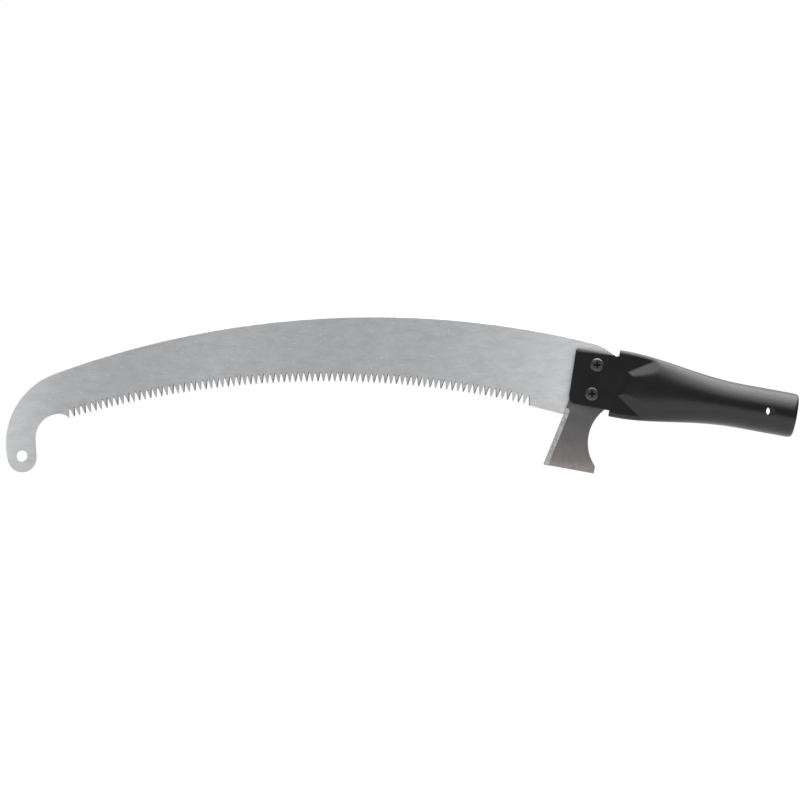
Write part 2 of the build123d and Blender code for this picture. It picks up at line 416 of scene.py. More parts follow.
def blade_steel():
    """Light ground steel: short fine streaks along the blade over a faint cloudy mottle, with a painted
    sheen that lightens it towards the hook and the heel.
    """
    n = Nodes("ground_steel")
    streaks = n.noise(n.stretched((160, 500, 1500), slant=TILT), 1.0, 3.0, 0.65)
    clouds = n.noise(n.stretched((70, 70, 180), slant=TILT), 1.0, 4.0, 0.6)
    nicks = n.noise(n.stretched((260, 500, 1900), slant=TILT), 1.0, 1.0, 0.5)
    specks = n.noise(n.place, 900, 2.0, 0.7)
    tone = n.plus(n.times(streaks, 0.38), n.times(clouds, 0.62))
    # Painted sheen: lighter towards the hook and the heel and darker along the middle, for how the light
    # falls along the blade.
    painted_sheen_along_x = n.ramp(n.spread(n.axis("X"), 0.0, 1.0, BLADE_LOW.x * MM, BLADE_HIGH.x * MM),
                    (0.0, grey(0.86)), (0.08, grey(0.67)), (0.18, grey(0.62)), (0.34, grey(0.67)),
                    (0.5, grey(0.615)), (0.68, grey(0.655)), (0.84, grey(0.77)), (0.93, grey(0.90)))
    grain = n.ramp(tone, (0.35, (0.82, 0.835, 0.85)), (0.5, (0.915, 0.925, 0.94)), (0.66, (0.98, 0.99, 1.0)))
    colour = n.mix(1.0, painted_sheen_along_x, grain, blend="MULTIPLY")
    colour = n.mix(n.spread(nicks, 0.0, 0.6, 0.70, 0.76), colour, grey(0.98))
    colour = n.mix(n.times(tooth_heat(n), 0.2), colour, (0.42, 0.36, 0.37))
    height = n.plus(streaks, n.times(specks, 0.3))
    return n.finish(colour, n.spread(streaks, 0.46, 0.54), n.bump(height, 0.12, 0.00003))


def knife_steel():
    """Dark oil-blackened steel, with painted light that makes it lighter and browner towards the bottom."""
    n = Nodes("dark_knife_steel")
    # Painted light: the colour turns lighter and browner from this height down to the bottom edge.
    painted_light_top_z = -0.022
    painted_light_low = n.spread(n.axis("Z"), 1.0, 0.0, KNIFE_LOW.z * MM, painted_light_top_z)
    clouds = n.noise(n.place, 140, 4.0, 0.6)
    grain = n.noise(n.stretched((900, 400, 60)), 1.0, 3.0, 0.6)
    share = n.math("ADD", painted_light_low, n.spread(clouds, -0.08, 0.08), clamp=True)
    colour = n.ramp(share, (0.0, (0.158, 0.155, 0.155)), (0.5, (0.201, 0.194, 0.194)),
                    (0.85, (0.29, 0.266, 0.262)), (1.0, (0.41, 0.377, 0.368)))
    return n.finish(colour, n.spread(grain, 0.42, 0.55), n.bump(n.plus(grain, clouds), 0.2, 0.00005))


def edge_steel():
    """Freshly ground bevel: coarse grinding lines across the edge and a broken grain, darkened with painted
    shade at its top end.
    """
    n = Nodes("ground_bevel_steel")
    painted_shade_low_z, painted_shade_high_z = -0.031, -0.025
    lines = n.noise(n.stretched((260, 260, 1700), slant=math.radians(-11)), 1.0, 2.0, 0.6)
    grain = n.noise(n.place, 1100, 3.0, 0.7)
    tone = n.plus(n.times(lines, 0.45), n.times(grain, 0.55))
    colour = n.ramp(tone, (0.36, (0.40, 0.40, 0.39)), (0.5, (0.66, 0.66, 0.65)), (0.64, (0.86, 0.86, 0.84)))
    # Painted shade: the bevel's rounded top end is darkened, which dims the highlight it would catch.
    colour = n.mix(n.spread(n.axis("Z"), 0.0, 0.6, painted_shade_low_z, painted_shade_high_z), colour, grey(0.25))
    return n.finish(colour, n.spread(lines, 0.44, 0.56), n.bump(tone, 0.4, 0.00006))


def tooth_heat(n):
    """How far the flash hardening has tinted the steel: 1 at the teeth's tips, 0 at the gullets."""
    tint_depth = 4.0 * MM
    level = n.vector_math("MULTIPLY", n.place, (1, 0, 1))[0]
    away = n.vector_math("DISTANCE", level, (TOOTH_CENTRE[0] * MM, 0, TOOTH_CENTRE[1] * MM))["Value"]
    near_tip = n.spread(away, 1.0, 0.0, TOOTH_TIP_R * MM, TOOTH_TIP_R * MM + tint_depth)
    x = n.axis("X")
    in_row = n.times(n.math("GREATER_THAN", x, ROW_START_X * MM), n.math("LESS_THAN", x, ROW_END_X * MM))
    patchy = n.spread(n.noise(n.place, 260, 2.0, 0.5), 0.35, 1.0, 0.35, 0.6)
    return n.times(n.times(near_tip, in_row), patchy)


def tooth_steel():
    """Ground and flash-hardened flanks of the teeth, darker and browner towards the tips; their darker base
    is partly painted shade on the slanted flanks.
    """
    # The dark base tones are partly painted shade, for the flanks that lean away from the light.
    n, _, colour = cloudy("hardened_tooth_steel_painted_shade", 700, (0.25, 0.24, 0.24), (0.37, 0.36, 0.36))
    colour = n.mix(n.times(tooth_heat(n), 0.65), colour, (0.21, 0.14, 0.15))
    return n.finish(colour, 0.36)


def black_enamel():
    """Semi-gloss black paint with a faint orange peel and small dust marks."""
    n = Nodes("black_enamel")
    peel = n.noise(n.place, 620, 2.0, 0.5)
    waves = n.noise(n.place, 90, 2.0, 0.5)
    dust = n.noise(n.place, 2600, 2.0, 0.6)
    colour = n.ramp(dust, (0.0, grey(0.002)), (0.66, grey(0.003)), (0.76, grey(0.012)))
    height = n.plus(n.times(peel, 0.5), waves)
    return n.finish(colour, n.spread(waves, 0.28, 0.34), n.bump(height, 0.12, 0.0002), metallic=0.0)


def thin_enamel():
    """The same paint where it only dusts the socket's inside, greyer and dull."""
    n, clouds, colour = cloudy("thin_inside_enamel", 160, grey(0.16), grey(0.24))
    return n.finish(colour, 0.7, n.bump(clouds, 0.2, 0.0001), metallic=0.0)


def screw_steel():
    """Dark plated screw steel, with a painted highlight that makes it lighter round the sides of the head.
    """
    n, clouds, colour = cloudy("dark_plated_steel", 800, grey(0.075), grey(0.12))
    crown = SCREW_BOXES["upper"][0].y * MM
    side_highlight_from, side_highlight_to = 0.4 * MM, 1.6 * MM
    # Painted highlight on the head's rounded side, patchy with the clouds.
    painted_side_highlight = n.spread(n.axis("Y"), 0.0, 0.8, crown + side_highlight_from, crown + side_highlight_to)
    colour = n.mix(n.times(painted_side_highlight, n.spread(clouds, 0.6, 1.0)), colour, grey(0.34))
    return n.finish(colour, n.spread(clouds, 0.34, 0.46), n.bump(clouds, 0.15, 0.00005))


def recess_shade_steel():
    """Screw steel down in the drive recess, painted darker as shade."""
    # The darker tones are painted shade in the recess.
    n, _, colour = cloudy("recess_painted_shade_steel", 900, grey(0.02), grey(0.05))
    return n.finish(colour, 0.55)


def zinc_steel():
    """Dull zinc plating of the nuts and washers."""
    n, clouds, colour = cloudy("zinc_plated_steel", 650, grey(0.36), (0.5, 0.5, 0.52))
    return n.finish(colour, n.spread(clouds, 0.3, 0.45), n.bump(clouds, 0.15, 0.00005))


# ---------------------------------------------------------------- saw blade

BLADE_FACES = (BLADE_LOW.y, BLADE_HIGH.y)
BACK_CENTRE = (-199.3, -666.1)
BACK_R = BLADE_HIGH.z - BACK_CENTRE[1]
BACK_END_ANGLE = 120.5
HOOK_R = 55.9
TIP_ANGLE = 203.9
TIP_R = 10.8
HOOK_HOLE = (-564.7, -133.1)
HOOK_HOLE_R = 4.0
HOOK_HOLE_EDGE = 0.15
THROAT_CENTRE = (-539.2, -115.0)
THROAT_R = 18.25
CREST_ANGLE = 100.8
HEEL_CORNER = (-197.3, -27.9)
HEEL_INNER = (-162.0, -30.6)
HEEL_RISE = (-150.0, -18.5)
HEEL_ROUND_X = -159.0
BLADE_END_LOW_Z = -13.0
BLADE_END_TOP_Z = 19.8
BLADE_EDGE = 0.12

# The row of teeth.
TOOTH_CENTRE = (-228.75, -710.4)
TOOTH_TIP_R = 684.0
TOOTH_DEPTH = 6.2
TOOTH_COUNT = 82
TOOTH_PITCH = 0.3523
FIRST_TOOTH_ANGLE = 90 + 26.244
TOOTH_TIP_WIDTH = 0.8
GULLET_WIDTH = 0.45
ROW_START_X = -536.0
ROW_END_X = -196.8

# A tooth's ground flank: its width, the flat left at its point, and how it runs out at the gullet.
BEVEL_WIDTH = 0.72
POINT_LAND = 0.12
BEVEL_RUNOUT = 1.6
RUNOUT_WIDTH = 0.75
ROOT_LIFT = 0.3
FLANK_JOINT = 0.85


def tooth_point(angle, across, up):
    """Point near a tooth: across along the edge towards the hook, up from the tips' circle."""
    radius = TOOTH_TIP_R + up
    return polar(TOOTH_CENTRE, radius, angle + math.degrees(across / radius))


def tooth_profiles(number):
    """Front and back outline of one tooth, from the hook's side to the heel's side.

    Each tooth is ground on one face only, in turn, so its other face keeps the full outline.
    The ground flanks are of even width and run out a little above the gullets.
    """
    angle = FIRST_TOOTH_ANGLE - number * TOOTH_PITCH
    root = math.radians(TOOTH_PITCH) * TOOTH_TIP_R / 2 - GULLET_WIDTH / 2
    tip = TOOTH_TIP_WIDTH / 2
    lean = (root - tip) / TOOTH_DEPTH
    width = BEVEL_WIDTH * math.hypot(1, lean)
    point_up = (width - tip + POINT_LAND) / lean
    runout_up = TOOTH_DEPTH + BEVEL_RUNOUT
    full = [(root, TOOTH_DEPTH), (tip + (root - tip) * FLANK_JOINT, TOOTH_DEPTH * FLANK_JOINT), (tip, 0.0)]
    ground = [(root, TOOTH_DEPTH + ROOT_LIFT), (tip + lean * runout_up - width * RUNOUT_WIDTH, runout_up),
              (POINT_LAND, point_up)]
    sides = []
    for half in (full, ground):
        both = half + [(-across, up) for across, up in reversed(half)]
        sides.append([tooth_point(angle, across, up) for across, up in both])
    return sides if number % 2 else sides[::-1]


def blade_outline():
    """The blade's outline without its teeth: from the heel's corner round to the spur tip."""
    hook_centre = polar(BACK_CENTRE, BACK_R - HOOK_R, BACK_END_ANGLE)
    tip_centre = polar(hook_centre, HOOK_R - TIP_R, TIP_ANGLE)
    bearing = angle_of(tip_centre, THROAT_CENTRE)
    gap = math.dist(tip_centre, THROAT_CENTRE)
    tangent = bearing - math.degrees(math.acos((TIP_R + THROAT_R) / gap))
    heel_low, heel_top = (BLADE_HIGH.x, BLADE_END_LOW_Z), (BLADE_HIGH.x, BLADE_END_TOP_Z)
    leave_angle = math.degrees(math.acos((HEEL_ROUND_X - BACK_CENTRE[0]) / BACK_R))
    rounded_heel = touching_arc(polar(BACK_CENTRE, BACK_R, leave_angle), BACK_CENTRE, heel_top)
    crest = polar(THROAT_CENTRE, THROAT_R, CREST_ANGLE)
    spur = polar(TOOTH_CENTRE, TOOTH_TIP_R, FIRST_TOOTH_ANGLE + TOOTH_PITCH)
    return joined(
        path(HEEL_CORNER, HEEL_INNER, HEEL_RISE, heel_low, heel_top),
        rounded_heel[::-1],
        arc(BACK_CENTRE, BACK_R, leave_angle, BACK_END_ANGLE, step=2.0),
        arc(hook_centre, HOOK_R, BACK_END_ANGLE, TIP_ANGLE),
        arc(tip_centre, TIP_R, TIP_ANGLE, tangent + 360, step=0.5),
        arc(THROAT_CENTRE, THROAT_R, tangent + 180, CREST_ANGLE, step=0.5),
        touching_arc(crest, THROAT_CENTRE, spur, step=0.4),
    )


def teeth_outlines():
    """The row's outline on the front and on the back face, from the spur to the last gullet's wall."""
    half_gullet = GULLET_WIDTH / 2
    lead = tooth_point(FIRST_TOOTH_ANGLE + TOOTH_PITCH / 2, half_gullet, TOOTH_DEPTH)
    front, back = [lead], [lead]
    for number in range(TOOTH_COUNT):
        tooth_front, tooth_back = tooth_profiles(number)
        front += tooth_front
        back += tooth_back

    # The wall of the last gullet is ground like a tooth's flank.
    last_root = FIRST_TOOTH_ANGLE - (TOOTH_COUNT - 0.5) * TOOTH_PITCH
    wall_width, wall_lift = BEVEL_WIDTH * 0.6, 0.8
    front.append(tooth_point(last_root, -half_gullet - wall_width, TOOTH_DEPTH + wall_lift))
    front.append((HEEL_CORNER[0] + BEVEL_WIDTH, HEEL_CORNER[1]))
    back.append(tooth_point(last_root, -half_gullet, TOOTH_DEPTH))
    back.append(HEEL_CORNER)
    return front, back


def blade_rings():
    """The four rings of the blade's outline, from the front face to the back face."""
    plain = blade_outline()[1:]
    front, back = teeth_outlines()
    pulled = inset(plain, BLADE_EDGE)
    pulled[-1] = plain[-1]
    share = BLADE_EDGE / (BLADE_HIGH.y - BLADE_LOW.y)
    near_front = [between(a, b, share) for a, b in zip(front, back)]
    near_back = [between(a, b, 1 - share) for a, b in zip(front, back)]
    return plate_rings(BLADE_FACES, BLADE_EDGE, pulled + front, plain + near_front,
                       plain + near_back, pulled + back)


def make_blade(steel, tooth):
    """The blade as one closed plate with the hook's hole and the screws' holes."""
    hook_hole = hole_rings(BLADE_FACES, HOOK_HOLE_EDGE, HOOK_HOLE, HOOK_HOLE_R)
    bm = plate_from([blade_rings(), hook_hole] + screw_hole_rings(BLADE_FACES))
    piece = new_piece("blade", bm, [steel, tooth], "saw_blade")

    # The second material goes on the teeth's flanks, which lean away from the flat faces.
    past_gullets, flat_face = 1.0, 0.999
    limit = (TOOTH_TIP_R + TOOTH_DEPTH + past_gullets) * MM
    for polygon in piece.data.polygons:
        x, _, z = polygon.center
        away = math.dist((x, z), (TOOTH_CENTRE[0] * MM, TOOTH_CENTRE[1] * MM))
        in_row = away < limit and ROW_START_X * MM < x < ROW_END_X * MM
        if in_row and abs(polygon.normal.y) < flat_face:
            polygon.material_index = 1
    shade_by_angle(piece, 30)


# ---------------------------------------------------------------- undercut knife

KNIFE_TOP_Z = 18.0
KNIFE_NECK_Z = -20.5
KNIFE_TOE_TOP_Z = -64.0
KNIFE_LEFT_X = -168.8
KNIFE_TANG_X = -141.0
SICKLE_LOW = (-141.3, -63.0)
SICKLE_MIDDLE = (-149.4, -43.0)
SICKLE_HIGH = (-142.0, -22.0)
KNIFE_EDGE = 0.15
KNIFE_BEVEL_WIDTH = 3.5
KNIFE_BEVEL_TOP_Z = -24.5
KNIFE_BEVEL_FADE = 6.0
KNIFE_EDGE_LAND = 0.4


def make_knife(steel, bevel):
    """The knife as one plate, with its left side ground from the front to a chisel edge."""
    faces = KNIFE_LOW.y, KNIFE_HIGH.y
    bottom_z = KNIFE_LOW.z
    left_top, neck = (KNIFE_LEFT_X, KNIFE_TOP_Z), (KNIFE_LEFT_X, KNIFE_NECK_Z)
    tang_top, tang_low = (KNIFE_TANG_X, KNIFE_TOP_Z), (KNIFE_TANG_X, KNIFE_NECK_Z)
    edge_bottom, toe_bottom = (KNIFE_LOW.x, bottom_z), (KNIFE_HIGH.x, bottom_z)
    toe_top = (KNIFE_HIGH.x, KNIFE_TOE_TOP_Z)
    outline = joined(
        path(tang_top, left_top, neck),
        straight(neck, edge_bottom, step=0.5),
        path(edge_bottom, toe_bottom, toe_top, SICKLE_LOW),
        arc_through(SICKLE_LOW, SICKLE_MIDDLE, SICKLE_HIGH, step=0.7),
        path(SICKLE_HIGH, tang_low, tang_top),
    )
    lean = (edge_bottom[0] - neck[0]) / (edge_bottom[1] - neck[1])
    across = math.hypot(1, lean)
    rim_front = KNIFE_LOW.y + KNIFE_EDGE
    rim_low = bottom_z + KNIFE_EDGE
    ground_y = KNIFE_HIGH.y - KNIFE_EDGE_LAND
    pulled = inset(outline, KNIFE_EDGE)
    cap = list(pulled)
    rim_y = [rim_front] * len(outline)
    for k, (x, z) in enumerate(outline):
        below = KNIFE_BEVEL_TOP_Z - z
        if below <= 0 or abs(x - neck[0] - (z - neck[1]) * lean) > 1e-4:
            continue
        # The grinding wheel leaves the bevel's top end round, and bites in gradually.
        reach = min(below / KNIFE_BEVEL_WIDTH, 1.0)
        width = KNIFE_EDGE + (KNIFE_BEVEL_WIDTH - KNIFE_EDGE) * math.sqrt(1 - (1 - reach) ** 2)
        cap[k] = (x + width * across, max(z, rim_low))
        bite = min(below / KNIFE_BEVEL_FADE, 1.0)
        rim_y[k] = rim_front + (ground_y - rim_front) * bite * (2 - bite)

    # Along the bottom, the front face starts where the bevel ends, and no point stands on another.
    corner_x = edge_bottom[0] + KNIFE_BEVEL_WIDTH * across
    apart = 0.02
    for k in range(outline.index(edge_bottom) + 1, len(cap)):
        x, z = cap[k]
        if z < rim_low + KNIFE_EDGE:
            cap[k] = (max(x, corner_x + apart * k), z)

    rings = plate_rings(faces, KNIFE_EDGE, cap, outline, outline, pulled)
    rings[1] = [(x, y, z) for (x, z), y in zip(outline, rim_y)]
    bm = plate_from([rings] + screw_hole_rings(faces))
    piece = new_piece("knife", bm, [steel, bevel], "undercut_knife")

    # The second material goes on the bevel, whose faces are the only large ones that lean left.
    least_area = 0.1 * MM * MM
    for polygon in piece.data.polygons:
        slanted = -0.9999 < polygon.normal.y < -0.5 and polygon.normal.x < -0.01
        if slanted and polygon.area > least_area:
            polygon.material_index = 1
    shade_by_angle(piece, 25)


# ---------------------------------------------------------------- pole socket

TUBE_R = SOCKET_HIGH.y
ROUND_LENGTH = 40.0
CROSS_HOLE = (-20.2, 0.0)
CROSS_HOLE_R = 3.25
FLAT_HALF_HEIGHT = 25.3
FLAT_START_X = -131.0
ALL_FLAT_X = -134.0
SHOULDER_X = -137.3
TAB_END_TOP_X = -170.1
TAB_END_LOW_X = -169.3
TAB_HALF_HEIGHT = 20.8
TAB_UPPER_CORNER_R = 1.5
TAB_LOWER_CORNER_R = 6.0
NOTCH_R = 2.2
NOTCH_RISE = 1.4
NOTCH_REACH = 2.5
SWELL_POWER = 1.1
SQUEEZE_POWER = 2.0
LIP_LENGTH = 4.6
LIP_DEPTH = 1.4

# The cheeks' outer rims, and how far they are dressed back along the top.
EDGE_ROUNDING = 0.45
LOW_ROUNDING_SHARE = 0.7
DRESSED_HEIGHT = 2.4
DRESSED_SLOPE = 0.50
DRESSED_POWER = 0.7

# The press pad's edge on the tube's side: two slanted creases that meet a blunt nose.
CREASES = (
    ((-129.5, 10.0), (-111.7, 21.2)),
    ((-129.6, -10.6), (-113.9, -21.1)),
    ((-132.6, -6.6), (-129.5, 10.0)),
)
CREASE_SLOPE = 0.6
CREASE_ROUNDING = 0.5
LEAST_ROUNDING = 0.02
ON_ROUND_SIDE = (-60.0, 0.0)

# How finely the skin is divided: over a side, over a fold, along a cheek and along the tube.
ACROSS = 56
OVER_FOLD = 22
CHEEK_COLUMNS = 44
TUBE_STEP = 20.2 / 36
MOUTH_STATIONS = [0.0, -0.12, -0.35]
SECTION_SAMPLES = 400
CROSS_HOLE_CELLS = 6
SCREW_HOLE_CELLS = 4


def swell(x):
    """Half-height of the tube's outside at x."""
    share = limited((-ROUND_LENGTH - x) / (-ROUND_LENGTH - FLAT_START_X)) ** SWELL_POWER
    return TUBE_R + (FLAT_HALF_HEIGHT - TUBE_R) * share * share * (3 - 2 * share)


def squeeze(x):
    """Half-thickness of the tube's free part at x."""
    share = limited((-ROUND_LENGTH - x) / (-ROUND_LENGTH - SHOULDER_X))
    return TUBE_R - (TUBE_R - CHEEK_OUTER_Y) * share**SQUEEZE_POWER


def beyond(line, x, z):
    """Distance of a point from a line, positive on the tube's round side."""
    (ax, az), (bx, bz) = line
    side, round_side = (
        ((bx - ax) * (pz - az) - (bz - az) * (px - ax)) / math.dist(*line)
        for px, pz in ((x, z), ON_ROUND_SIDE)
    )
    return side if round_side > 0 else -side


def half_depth(x, z):
    """Half-thickness of the tube's outside at a place on its side."""
    height = swell(x)
    share = min(abs(z) / height, 1.0)
    free = squeeze(x) * math.sqrt(1 - share * share)
    if x > -ROUND_LENGTH:
        return free
    pad = CHEEK_OUTER_Y
    fold = max(abs(z) - (height - pad), 0.0)
    flat = math.sqrt(max(pad * pad - fold * fold, 0.0))
    if x < ALL_FLAT_X:
        return flat
    away = min(beyond(crease, x, z) for crease in CREASES)
    raised = smooth_min(free, pad + CREASE_SLOPE * away, CREASE_ROUNDING)
    if raised < flat - CREASE_ROUNDING:
        return flat
    return smooth_max(flat, raised, LEAST_ROUNDING + CREASE_ROUNDING * min(flat / pad, 1.0))


def tube_section(x):
    """Points (y, z) round the outside at x, from the front's lower corner upwards."""
    height = swell(x)
    angles = [math.radians(-90 + 180 * k / SECTION_SAMPLES) for k in range(SECTION_SAMPLES + 1)]
    heights = [height * math.sin(angle) for angle in angles]
    side = [(half_depth(x, z), z) for z in heights]
    lengths = lengths_along(side)

    def length_at(z):
        k = bisect.bisect_left(heights, z) - 1
        share = (z - heights[k]) / (heights[k + 1] - heights[k])
        return lengths[k] + (lengths[k + 1] - lengths[k]) * share

    corner = TAB_HALF_HEIGHT * height / FLAT_HALF_HEIGHT
    lower, upper = length_at(-corner), length_at(corner)
    middle = evenly(side, ACROSS, lower, upper)
    top = evenly(side, OVER_FOLD // 2, upper, lengths[-1])[1:]
    bottom = evenly(side, OVER_FOLD // 2, 0.0, lower)[:-1]
    rear = bottom[1:] + middle + top[:-1]
    return [(-y, z) for y, z in middle + top] + rear[::-1] + [(-y, z) for y, z in bottom]


def tube_stations():
    """Places along the socket from its mouth to its shoulder."""
    count = round(-SHOULDER_X / TUBE_STEP)
    xs = MOUTH_STATIONS + [-k * TUBE_STEP for k in range(1, count)]
    while xs[-1] - SHOULDER_X < TUBE_STEP * 0.5:
        xs.pop()
    return xs + [SHOULDER_X]


def lip(x):
    """How much the outside is drawn in at x, close to the rounded mouth."""
    share = max((x + LIP_LENGTH) / LIP_LENGTH, 0.0)
    return LIP_DEPTH * (1 - math.sqrt(max(1 - share * share, 0.0)))


def tube_skins():
    """Sections of points (x, y, z) of the tube's outside and inside, from mouth to shoulder."""
    outer, inner = [], []
    for x in tube_stations():
        section = tube_section(x)
        drawn = inset(section, lip(x)) if lip(x) > 1e-6 else section
        outer.append([(x, y, z) for y, z in drawn])
        inner.append([(x, y, z) for y, z in inset(section, WALL)])
    return outer, inner


def corner_arc(corner, radius, start, end):
    """Fillet of a corner between two edges, given by their outward normals' angles."""
    first, second = polar((0, 0), 1.0, start), polar((0, 0), 1.0, end)
    away = radius / (1 + first[0] * second[0] + first[1] * second[1])
    centre = (corner[0] - (first[0] + second[0]) * away, corner[1] - (first[1] + second[1]) * away)
    return arc(centre, radius, start, end, step=0.3)


def cheek_grid():
    """Points (x, z) of a cheek, in columns from the shoulder to its free end."""
    z = TAB_HALF_HEIGHT
    lean = math.degrees(math.atan2(TAB_END_LOW_X - TAB_END_TOP_X, 2 * z))
    upper = corner_arc((TAB_END_TOP_X, z), TAB_UPPER_CORNER_R, 90, 180 - lean)
    lower = corner_arc((TAB_END_LOW_X, -z), TAB_LOWER_CORNER_R, 270, 180 - lean)
    upper_middle, lower_middle = len(upper) // 2, len(lower) // 2
    notch = (SHOULDER_X - NOTCH_R, z + NOTCH_RISE)
    dip = math.degrees(math.acos(NOTCH_RISE / NOTCH_R))
    shoulder_top, shoulder_low = (SHOULDER_X, z), (SHOULDER_X, -z)
    top = joined(
        [shoulder_top],
        arc(notch, NOTCH_R, -90 + dip, -90 - dip, step=0.3),
        straight((notch[0] - NOTCH_REACH, z), upper[0]),
        upper[:upper_middle + 1],
    )
    bottom = joined(straight(shoulder_low, lower[0]), lower[:lower_middle + 1])
    left = joined(lower[lower_middle:], straight(lower[-1], upper[-1]), upper[upper_middle:][::-1])
    right = straight(shoulder_low, shoulder_top)
    top, bottom = evenly(top, CHEEK_COLUMNS), evenly(bottom, CHEEK_COLUMNS)
    left, right = evenly(left, ACROSS), evenly(right, ACROSS)

    # Each point blends the four sides, less what its four corners count twice.
    columns = []
    for i in range(CHEEK_COLUMNS + 1):
        s = i / CHEEK_COLUMNS
        column = []
        for j in range(ACROSS + 1):
            t = j / ACROSS
            across = between(right[j], left[j], s)
            upwards = between(bottom[i], top[i], t)
            twice = between(between(right[0], left[0], s), between(right[-1], left[-1], s), t)
            column.append((across[0] + upwards[0] - twice[0], across[1] + upwards[1] - twice[1]))
        columns.append(column)
    return columns


def cheek_outside(x, z):
    """Half-thickness of a cheek's outside, which leans back along the top towards the free end."""
    share = limited((SHOULDER_X - x) / (SHOULDER_X - TAB_END_TOP_X))
    reach = DRESSED_HEIGHT * share ** DRESSED_POWER
    return CHEEK_OUTER_Y - DRESSED_SLOPE * max(reach - (TAB_HALF_HEIGHT - z), 0.0)


def cheek_inside(x, z):
    """Half-thickness between the cheeks, which is the same all over."""
    return CHEEK_INNER_Y


def open_round(grid, centre, radius, half):
    """Bends a grid of (x, z) points so that a block of its cells becomes a round hole.

    Returns the block's range of columns and rows, whose faces are left out.
    """
    ci, cj = min(
        ((i, j) for i in range(len(grid)) for j in range(len(grid[0]))),
        key=lambda at: math.dist(grid[at[0]][at[1]], centre),
    )
    here, beside, above = grid[ci][cj], grid[ci + 1][cj], grid[ci][cj + 1]
    step_x = math.copysign(math.dist(beside, here), beside[0] - here[0])
    step_z = math.copysign(math.dist(above, here), above[1] - here[1])
    reach = 2 * half
    for i in range(max(ci - reach, 0), min(ci + reach, len(grid) - 1) + 1):
        for j in range(max(cj - reach, 0), min(cj + reach, len(grid[0]) - 1) + 1):
            ring = max(abs(i - ci), abs(j - cj)) / half
            if ring > 0:
                way = Vector(((i - ci) * step_x, (j - cj) * step_z)).normalized()
                goal = (centre[0] + way.x * radius * ring, centre[1] + way.y * radius * ring)
                grid[i][j] = between(grid[i][j], goal, min(2 - ring, 1.0))
    return (ci - half, ci + half, cj - half, cj + half)


def open_cross_hole(skin, radius):
    """Opens the cross hole in both sides of one of the tube's skins, and returns its two blocks."""
    margin = 8
    blocks = []
    for start, side in ((0, -1), (ACROSS + OVER_FOLD, 1)):
        rows = range(start, start + ACROSS + 1)
        grid = [[(section[j][0], section[j][2]) for j in rows] for section in skin]
        a, b, c, d = open_round(grid, CROSS_HOLE, CROSS_HOLE_R, CROSS_HOLE_CELLS)
        blocks.append((a, b, c + start, d + start))
        for i in range(a - margin, b + margin + 1):
            for j in rows:
                x, z = grid[i][j - start]
                if x < -LIP_LENGTH and abs(z) < radius:
                    skin[i][j] = (x, side * math.sqrt(radius * radius - z * z), z)
    return blocks


def add_grid(bm, columns, blocks, closed=False):
    """Faces between columns of vertices, apart from the blocks left out for holes."""
    faces = []
    for i in range(len(columns) - 1):
        count = len(columns[i])
        for j in range(count if closed else count - 1):
            n = (j + 1) % count
            if not any(a <= i < b and c <= j < d for a, b, c, d in blocks):
                corners = (columns[i][j], columns[i][n], columns[i + 1][n], columns[i + 1][j])
                faces.append(bm.faces.new(corners))
    return faces


def add_hole_walls(bm, front, back, blocks):
    """Walls of holes between two skins, round the edges of the blocks left out of them."""
    for a, b, c, d in blocks:
        loop = [(i, c) for i in range(a, b)] + [(b, j) for j in range(c, d)]
        loop += [(i, d) for i in range(b, a, -1)] + [(a, j) for j in range(d, c, -1)]
        add_strip(bm, [front[i][j] for i, j in loop], [back[i][j] for i, j in loop])


def add_cheek(bm, outer_end, inner_end, side):
    """One cheek with its screw holes, from the ends of the tube's two skins to its free end."""
    grid = cheek_grid()
    if side > 0:
        grid = [column[::-1] for column in grid]
    blocks = [open_round(grid, place, HOLE_R, SCREW_HOLE_CELLS) for place in SCREWS.values()]
    skins = []
    for end, half in ((outer_end, cheek_outside), (inner_end, cheek_inside)):
        columns = [end]
        for column in grid[1:]:
            columns.append([bm.verts.new((x, side * half(x, z), z)) for x, z in column])
        add_grid(bm, columns, blocks)
        skins.append(columns)
    outside, inside = skins
    add_hole_walls(bm, outside, inside, blocks)
    for row in (0, ACROSS):
        add_strip(bm, [c[row] for c in outside], [c[row] for c in inside], closed=False)
    add_strip(bm, outside[-1], inside[-1], closed=False)


def make_socket(enamel, inner_enamel):
    """The socket as one closed skin: outside, inside, lip, shoulders, cheeks and holes."""
    bm = bmesh.new()
    outer, inner = tube_skins()
    open_cross_hole(outer, TUBE_R)
    blocks = open_cross_hole(inner, TUBE_R - WALL)
    outer = [[bm.verts.new(point) for point in section] for section in outer]
    inner = [[bm.verts.new(point) for point in section] for section in inner]
    add_grid(bm, outer, blocks, closed=True)
    for face in add_grid(bm, inner, blocks, closed=True):
        face.material_index = 1
    add_strip(bm, outer[0], inner[0])
    add_hole_walls(bm, outer, inner, blocks)

    # At the shoulder the folds end in a plain cut, and the sides run on as cheeks.
    around = len(outer[0])
    for side_start, side in ((0, -1), (ACROSS + OVER_FOLD, 1)):
        fold_start = side_start + ACROSS
        side_rows = range(side_start, fold_start + 1)
        fold_rows = [j % around for j in range(fold_start, fold_start + OVER_FOLD + 1)]
        add_strip(bm, [outer[-1][j] for j in fold_rows], [inner[-1][j] for j in fold_rows], closed=False)
        add_cheek(bm, [outer[-1][j] for j in side_rows], [inner[-1][j] for j in side_rows], side)

    piece = new_piece("socket", bm, [enamel, inner_enamel], "pole_socket")
    round_sheared_edges(piece)
    settle_modifiers(piece)
    shade_by_angle(piece, 38)


